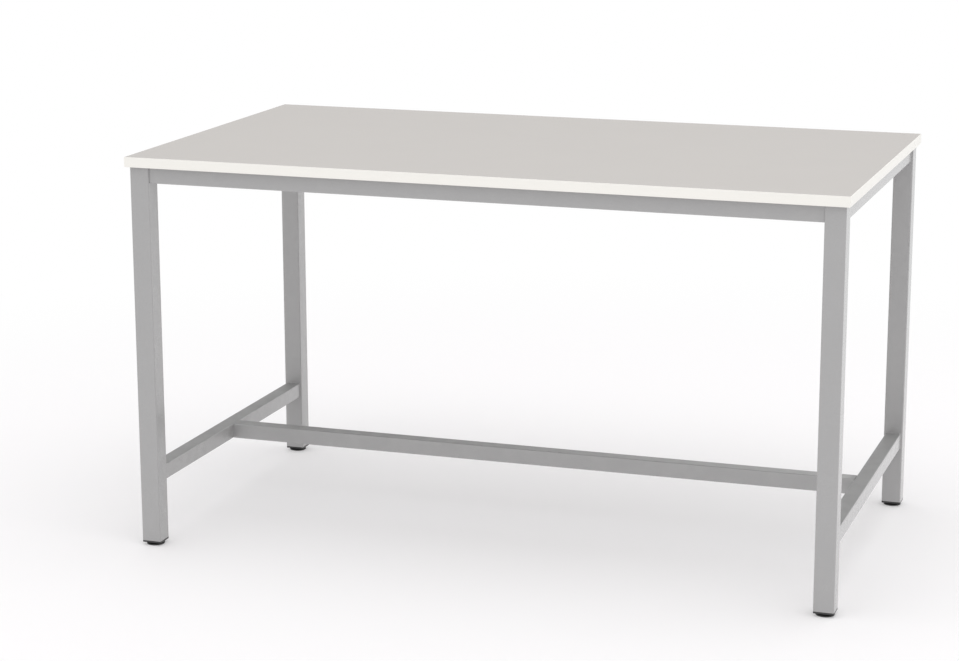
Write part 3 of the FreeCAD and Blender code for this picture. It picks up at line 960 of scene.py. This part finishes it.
# -------------------------------- frame
@dataclass
class WeldBead:
    """A fillet weld round the end of a square tube, under the coating.

    Lengths are in millimetres.  The toe, the shoulder, the dip and the size at
    an open end are shares of the bead's size.
    """

    size: float = 1.8
    toe: float = 0.06
    shoulder: tuple[float, float] = (0.74, 0.42)
    sink: float = 0.5
    crescent: float = 0.4
    ripple: float = 1.7
    steps_per_ripple: int = 3
    dip: float = 0.16
    end_size: float = 0.35
    tube: float = 40.0
    tube_corner: float = 3.0
    corner_steps: int = 5

    def section(self) -> list[tuple[float, float, float]]:
        """Outline the bead where it crosses the tube's edge.

        Returns:
            Points as (out from the tube, along the tube, along the bead).
        """
        size = self.size
        sink = self.sink
        toe = self.toe * size
        far, near = (share * size for share in self.shoulder)
        return [
            (-sink, -sink, 0.0),
            (size, -sink, 0.0),
            (size, toe, 0.0),
            (far, near, self.crescent),
            (near, far, self.crescent),
            (toe, size, 0.0),
            (-sink, size, 0.0),
        ]

    def stations(self, run: WeldRun) -> list[Matrix]:
        """Frames along the tube's edge, from its top corner round the welded sides.

        Args:
            run: how many sides of the tube the bead runs along.

        Returns:
            One matrix for each step, for a tube along +Z about the origin.
        """
        half = self.tube / 2
        flat = half - self.tube_corner
        count = round(2 * flat * self.steps_per_ripple / self.ripple)
        hub = Matrix.Translation((flat, -flat, 0))
        arm = Matrix.Translation((self.tube_corner, 0, 0))
        frames = []
        for side in range(run.value):
            turn = Matrix.Rotation(-side * QUARTER_TURN, 4, "Z")
            for index in range(count + 1):
                along = flat - 2 * flat * index / count
                frames.append(turn @ Matrix.Translation((half, along, 0)))
            if side == run.value - 1 and run is not WeldRun.ALL_ROUND:
                break
            for index in range(1, self.corner_steps):
                angle = -QUARTER_TURN * index / self.corner_steps
                frames.append(turn @ hub @ Matrix.Rotation(angle, 4, "Z") @ arm)
        return frames

    def swell(self, index: int, last: int, closed: bool) -> float:
        """Size the bead at a step: it ripples, and tapers at open ends.

        Args:
            index: the step.
            last: the last step.
            closed: whether the bead meets its own start.

        Returns:
            The size as a share of the full one.
        """
        phase = (index % self.steps_per_ripple) / self.steps_per_ripple
        factor = 1.0 - self.dip * phase
        if not closed:
            from_end = min(index, last - index)
            factor *= min(1.0, self.end_size + self.end_size * from_end)
        return factor

    def mesh(self, run: WeldRun) -> bmesh.types.BMesh:
        """The bead round a tube that stands on the plane z = 0 along +Z.

        Args:
            run: how many sides of the tube it runs along.

        Returns:
            The closed mesh in millimetres.
        """
        closed = run is WeldRun.ALL_ROUND
        frames = self.stations(run)
        if closed:
            frames.append(frames[0])
        last = len(frames) - 1
        bm = bmesh.new()
        ring = [bm.verts.new((out, -along, up)) for out, up, along in self.section()]
        edges = [bm.edges.new(pair) for pair in zip(ring, ring[1:] + ring[:1])]
        before = Matrix.Identity(4)
        for index, station in enumerate(frames):
            swell = self.swell(index % last if closed else index, last, closed)
            here = station @ Matrix.Diagonal((swell, 1.0, swell, 1.0))
            if index:
                grown = bmesh.ops.extrude_edge_only(bm, edges=edges)["geom"]
                ring = [part for part in grown if isinstance(part, bmesh.types.BMVert)]
                edges = [
                    part
                    for part in grown
                    if isinstance(part, bmesh.types.BMEdge)
                    and all(vert in ring for vert in part.verts)
                ]
            bmesh.ops.transform(bm, matrix=here @ before.inverted(), verts=ring)
            before = here
        merged(bm)
        if not closed:
            bmesh.ops.holes_fill(bm, edges=bm.edges[:])
        outward(bm)
        return bm


@dataclass
class Frame:
    """Legs, rails and cross beam, with the weld beads at the end rails' ends.

    Lengths are in millimetres.
    """

    finishes: Finishes
    bead: WeldBead
    leg_x: float = LEG_X
    leg_y: float = LEG_Y
    leg_half: float = 25.0
    top_rail_level: float = 955.0
    lower_rail_level: float = 183.0
    bead_crease: float = 60.0

    def beads(self, level: float, run: WeldRun) -> bmesh.types.BMesh:
        """Beads between the four legs and the end rails at one level.

        Args:
            level: height of the rails' middle.
            run: how many sides of each rail are welded, from its outer side down.

        Returns:
            One mesh with a bead for each leg.
        """
        meshes = []
        for corner in Corner:
            side_x, side_y = corner.value
            out = Vector((side_x, 0, 0))
            up = Vector((0, 0, 1))
            inward = Vector((0, -side_y, 0))
            place = (side_x * self.leg_x, side_y * (self.leg_y - self.leg_half), level)
            turn = Matrix((out, up, inward)).transposed().to_4x4()
            bm = self.bead.mesh(run)
            moved(bm, Matrix.Translation(place) @ turn)
            outward(bm)
            meshes.append(bm)
        return joined(meshes)

    def build(self) -> None:
        """Dress the tubes and lay the weld beads."""
        coating = self.finishes.coating
        dress(coating, *("leg_" + corner.label for corner in Corner))
        dress(coating, *("top_rail_" + side.value for side in Side))
        dress(coating, "lower_rail_left", "lower_rail_right")
        dress(coating, "foot_rail", "centre_beam")
        dress(coating, "foot_rail_spigot_left", "foot_rail_spigot_right")
        for name, level, run in (
            ("lower_rail_welds", self.lower_rail_level, WeldRun.ALL_ROUND),
            ("top_rail_welds", self.top_rail_level, WeldRun.OPEN_AT_BOARD),
        ):
            label = PieceLabel(name, "table", "frame_coating")
            make_piece(label, self.beads(level, run), coating, crease=self.bead_crease)


# -------------------------------- fixings
@dataclass
class Fixings:
    """Brackets, cleats, rivet nuts and screws."""

    finishes: Finishes

    def build(self) -> None:
        """Dress the plated parts."""
        plate = self.finishes.plate
        dress(plate, *("corner_bracket_" + corner.label for corner in Corner))
        dress(plate, "beam_brackets", "worktop_cleats", "rivet_nuts")
        dress(
            self.finishes.screw,
            "corner_screws",
            "beam_screws",
            "foot_rail_screws",
            "cleat_screws",
            "worktop_screws",
        )


# -------------------------------- levelling feet
@dataclass
class Stud:
    """M10 levelling stud: thread, spanner collar, neck and head.

    Lengths are in millimetres.
    """

    radius: float = 5.0
    pitch: float = 1.5
    root_radius: float = 4.09
    crest_flat: float = 0.19
    root_flat: float = 0.25
    steps: int = 40
    top: float = 42.0
    point: float = 1.0
    collar_bottom: float = 5.6
    collar_top: float = 8.0
    collar_sides: int = 6
    collar_flats: float = 14.0
    chamfer_inset: float = 0.15
    chamfer_degrees: float = 30.0
    chamfer_steps: int = 24
    neck_overlap: float = 0.3
    head_bottom: float = 2.1
    head_top: float = 3.9
    head_radius: float = 8.0
    head_bottom_chamfer: float = 0.4
    head_top_chamfer: float = 0.3

    def thread(self) -> bmesh.types.BMesh:
        """Turn the right-handed thread from inside the collar to the point.

        Returns:
            The closed mesh.
        """
        flank = (self.pitch - self.crest_flat - self.root_flat) / 2
        turns = math.ceil((self.top - self.collar_bottom) / self.pitch) + 1
        points = []
        for turn in range(turns):
            low = self.collar_bottom + turn * self.pitch - self.pitch
            points += [
                (self.radius, low),
                (self.radius, low + self.crest_flat),
                (self.root_radius, low + self.crest_flat + flank),
                (self.root_radius, low + self.crest_flat + flank + self.root_flat),
            ]
        bm = bmesh.new()
        chain(bm, points)
        turned(bm, self.steps, rise=self.pitch)
        merged(bm)
        collar_middle = (self.collar_bottom + self.collar_top) / 2
        trim(bm, (0, 0, collar_middle), (0, 0, -1))
        trim(bm, (0, 0, self.top), (0, 0, 1))
        self.taper(bm)
        outward(bm)
        return bm

    def taper(self, bm: bmesh.types.BMesh) -> None:
        """Draw the thread's upper end in to a cone of 45 degrees.

        Args:
            bm: the thread.
        """
        for vert in bm.verts:
            reach = math.hypot(vert.co.x, vert.co.y)
            most = self.radius - self.point + (self.top - vert.co.z)
            if reach > most:
                vert.co.x *= most / reach
                vert.co.y *= most / reach

    def collar(self) -> bmesh.types.BMesh:
        """Cut the hexagonal collar, with both ends chamfered by a cone.

        Returns:
            The closed mesh.
        """
        height = self.collar_top - self.collar_bottom
        corner_radius = self.collar_flats / 2 / math.cos(math.pi / self.collar_sides)
        bm = bmesh.new()
        bmesh.ops.create_cone(
            bm,
            cap_ends=True,
            segments=self.collar_sides,
            radius1=corner_radius,
            radius2=corner_radius,
            depth=height,
            matrix=Matrix.Translation((0, 0, self.collar_bottom + height / 2)),
        )
        tilt = math.radians(self.chamfer_degrees)
        rim = self.collar_flats / 2 - self.chamfer_inset
        for index in range(self.chamfer_steps):
            angle = FULL_TURN * (index + 0.5) / self.chamfer_steps
            out = Vector((math.cos(angle), math.sin(angle), 0))
            for level, way in ((self.collar_top, 1), (self.collar_bottom, -1)):
                point = out * rim + Vector((0, 0, level))
                away = out * math.sin(tilt) + Vector((0, 0, way * math.cos(tilt)))
                trim(bm, point, away)
        merged(bm)
        outward(bm)
        return bm

    def head(self) -> bmesh.types.BMesh:
        """Shape the neck and the round head, which turn inside the base.

        Returns:
            The closed mesh.
        """
        neck_top = self.collar_bottom + self.neck_overlap
        outline = [
            (0.0, self.head_bottom),
            (self.head_radius - self.head_bottom_chamfer, self.head_bottom),
            (self.head_radius, self.head_bottom + self.head_bottom_chamfer),
            (self.head_radius, self.head_top - self.head_top_chamfer),
            (self.head_radius - self.head_top_chamfer, self.head_top),
            (self.radius, self.head_top),
            (self.radius, neck_top),
            (0.0, neck_top),
        ]
        return lathe(outline, self.steps)

    def mesh(self) -> bmesh.types.BMesh:
        """The whole stud about Z, in millimetres."""
        return joined([self.head(), self.collar(), self.thread()])


@dataclass
class Sole:
    """Rubber sole with shallow rings on its tread.

    Lengths are in millimetres.
    """

    radius: float = 20.5
    thickness: float = 2.0
    rounding: float = 0.35
    groove: float = 0.45
    hollow_radius: float = 2.0
    hollow_slope: float = 0.4
    ring_radii: tuple[float, ...] = (5.0, 9.0, 13.0, 17.0)
    ring_width: float = 1.4
    ring_slope: float = 0.3
    steps: int = 64

    def mesh(self) -> bmesh.types.BMesh:
        """Turn the sole about Z, standing on z = 0.

        Returns:
            The closed mesh.
        """
        points = [
            (0.0, self.groove),
            (self.hollow_radius, self.groove),
            (self.hollow_radius + self.hollow_slope, 0.0),
        ]
        for radius in self.ring_radii:
            end = radius + self.ring_width
            points += [
                (radius, 0.0),
                (radius + self.ring_slope, self.groove),
                (end - self.ring_slope, self.groove),
                (end, 0.0),
            ]
        points += [
            (self.radius - self.rounding, 0.0),
            (self.radius, self.rounding),
            (self.radius, self.thickness - self.rounding),
            (self.radius - self.rounding, self.thickness),
            (0.0, self.thickness),
        ]
        return lathe(points, self.steps)


@dataclass
class LevellingFeet:
    """The four feet: insert, bush, stud, base and sole."""

    finishes: Finishes
    stud: Stud
    sole: Sole
    leg_x: float = LEG_X * MM
    leg_y: float = LEG_Y * MM

    def build(self) -> None:
        """Dress the moulded parts and make the studs and soles."""
        dress(self.finishes.bush, "foot_bushes")
        for corner in Corner:
            name = corner.label
            side_x, side_y = corner.value
            place = (side_x * self.leg_x, side_y * self.leg_y, 0.0)
            dress(self.finishes.insert, "leg_insert_" + name)
            dress(self.finishes.foot, "foot_base_" + name)
            stud = make_piece(
                PieceLabel("threaded_stud_" + name, "stud_" + name, "stud_steel"),
                self.stud.mesh(),
                self.finishes.stud,
                place,
            )
            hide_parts("foot_stud_" + name)
            sole = make_piece(
                PieceLabel("ringed_sole_" + name, "foot_" + name, "sole_rubber"),
                self.sole.mesh(),
                self.finishes.sole,
                place,
            )
            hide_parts("foot_sole_" + name)


# -------------------------------- studio
@dataclass(frozen=True)
class SoftLamp:
    """A large soft area lamp aimed at a point."""

    name: str
    place: tuple[float, float, float]
    aim: tuple[float, float, float]
    width: float
    power: float

    def build(self) -> None:
        """Hang the lamp."""
        data = bpy.data.lights.new(self.name, "AREA")
        data.shape = "SQUARE"
        data.size = self.width
        data.energy = self.power
        lamp = into_scene(self.name, data)
        lamp.location = self.place
        toward = Vector(self.aim) - Vector(self.place)
        lamp.rotation_euler = toward.to_track_quat("-Z", "Y").to_euler()


@dataclass(frozen=True)
class Camera:
    """The camera's place and lens."""

    place: tuple[float, float, float] = (1.875443, -5.924690, 1.957968)
    turn: float = 0.31882
    dip: float = 0.23058
    focal_pixels: float = 2475.602
    centre_pixels: tuple[float, float] = (504.4368, 337.5984)
    frame_pixels: tuple[float, float] = (959.0, 661.0)
    sensor: float = 36.0
    sight: float = 200.0

    def build(self) -> None:
        """Set the scene's camera."""
        width, height = self.frame_pixels
        data = bpy.data.cameras.new("camera")
        data.sensor_fit = "HORIZONTAL"
        data.sensor_width = self.sensor
        data.lens = self.focal_pixels / width * self.sensor
        data.shift_x = (width / 2 - self.centre_pixels[0]) / width
        data.shift_y = (self.centre_pixels[1] - height / 2) / width
        data.clip_end = self.sight
        camera = into_scene("camera", data)
        camera.location = self.place
        camera.rotation_euler = (QUARTER_TURN - self.dip, 0.0, self.turn)
        bpy.context.scene.camera = camera


@dataclass
class Studio:
    """Pale floor, soft light all round, a soft overhead lamp and one from the right.

    The floor fades into plain white round the table wherever it is seen from
    above; even beside the table a share of glowing white is painted over it there as
    painted light on the table's shadow.  It is clear from below.
    """

    floor_half: float = 30.0
    floor_colour: Colour = (0.946, 0.93, 0.941)
    floor_roughness: float = 0.9
    # Share of glowing white painted over the floor beside the table where it is seen: painted
    # light that lightens the table's shadow.
    painted_shadow_lift: float = 0.28
    fade_start: float = 1.6
    fade_end: float = 3.4
    sky_strength: float = 0.90
    lamps: tuple[SoftLamp, ...] = (
        SoftLamp("overhead", (0.6, -1.0, 5.5), aim=(0.0, 0.0, 0.5), width=4.5, power=76.0),
        SoftLamp("side", (4.5, 0.5, 4.0), aim=(0.3, 0.0, 0.6), width=3.0, power=10.0),
    )

    @staticmethod
    def seen(graph: Graph) -> Value:
        """Tell rays that see from rays that carry light.

        Args:
            graph: the nodes of the floor's finish or of the world.

        Returns:
            1 where the camera looks, straight or by a reflection, and 0 for light.
        """
        path = graph.add("ShaderNodeLightPath")
        seen = Value(graph, path.outputs["Is Camera Ray"])
        for ray in ("Is Glossy Ray", "Is Transmission Ray"):
            seen = graph.maths("MAXIMUM", seen, Value(graph, path.outputs[ray]))
        return seen

    def floor_finish(self) -> bpy.types.Material:
        """Make a matt floor that fades into white where it is seen, clear from below.

        Returns:
            The floor's material.
        """
        material = bpy.data.materials.new("studio_floor")
        material.use_nodes = True
        graph = Graph(material.node_tree)
        matt = graph.add(
            "ShaderNodeBsdfPrincipled",
            inputs={
                "Base Color": (*self.floor_colour, 1.0),
                "Roughness": self.floor_roughness,
                "Specular IOR Level": 0.0,
            },
        )
        white = graph.add("ShaderNodeEmission", inputs={"Color": WHITE})
        x, y, _ = graph.axes()
        distance = (x * x + y * y) ** 0.5
        fade = graph.ramp(distance, self.fade_start, self.fade_end)
        # Painted light: the seen floor glows white, by this share beside the table and fully
        # further out.
        whitened = (self.painted_shadow_lift + (1 - self.painted_shadow_lift) * fade) * self.seen(graph)
        above = graph.add(
            "ShaderNodeMixShader",
            inputs={0: whitened, 1: matt.outputs[0], 2: white.outputs[0]},
        )
        clear = graph.add("ShaderNodeBsdfTransparent")
        from_below = graph.add("ShaderNodeNewGeometry").outputs["Backfacing"]
        shader = graph.add(
            "ShaderNodeMixShader",
            inputs={0: from_below, 1: above.outputs[0], 2: clear.outputs[0]},
        )
        graph.add("ShaderNodeOutputMaterial", inputs={0: shader.outputs[0]})
        return material

    def floor(self) -> None:
        """Lay the floor."""
        bm = bmesh.new()
        bmesh.ops.create_grid(bm, x_segments=1, y_segments=1, size=self.floor_half)
        mesh = bpy.data.meshes.new("floor")
        bm.to_mesh(mesh)
        bm.free()
        mesh.materials.append(self.floor_finish())
        into_scene("floor", mesh)

    def sky(self) -> None:
        """Even light from all round, white wherever it is seen or mirrored."""
        world = bpy.data.worlds.new("studio")
        bpy.context.scene.world = world
        world.use_nodes = True
        graph = Graph(world.node_tree)
        strength = self.sky_strength + (1.0 - self.sky_strength) * self.seen(graph)
        background = graph.add(
            "ShaderNodeBackground", inputs={"Color": WHITE, "Strength": strength}
        )
        graph.add("ShaderNodeOutputWorld", inputs={0: background.outputs[0]})

    def build(self) -> None:
        """Set up the floor, the light and the colour handling."""
        self.floor()
        self.sky()
        for lamp in self.lamps:
            lamp.build()
        bpy.context.scene.view_settings.view_transform = "Standard"


def main() -> None:
    """Build the table's finishes and detail, then the studio round it."""
    logging.basicConfig(level=logging.INFO, format="%(name)s: %(message)s")
    Camera().build()
    finishes = Finishes.mixed_up()
    for assembly in (
        Worktop(finishes),
        Frame(finishes, WeldBead()),
        Fixings(finishes),
        LevellingFeet(finishes, Stud(), Sole()),
        Studio(),
    ):
        assembly.build()


if __name__ == "__main__":
    main()
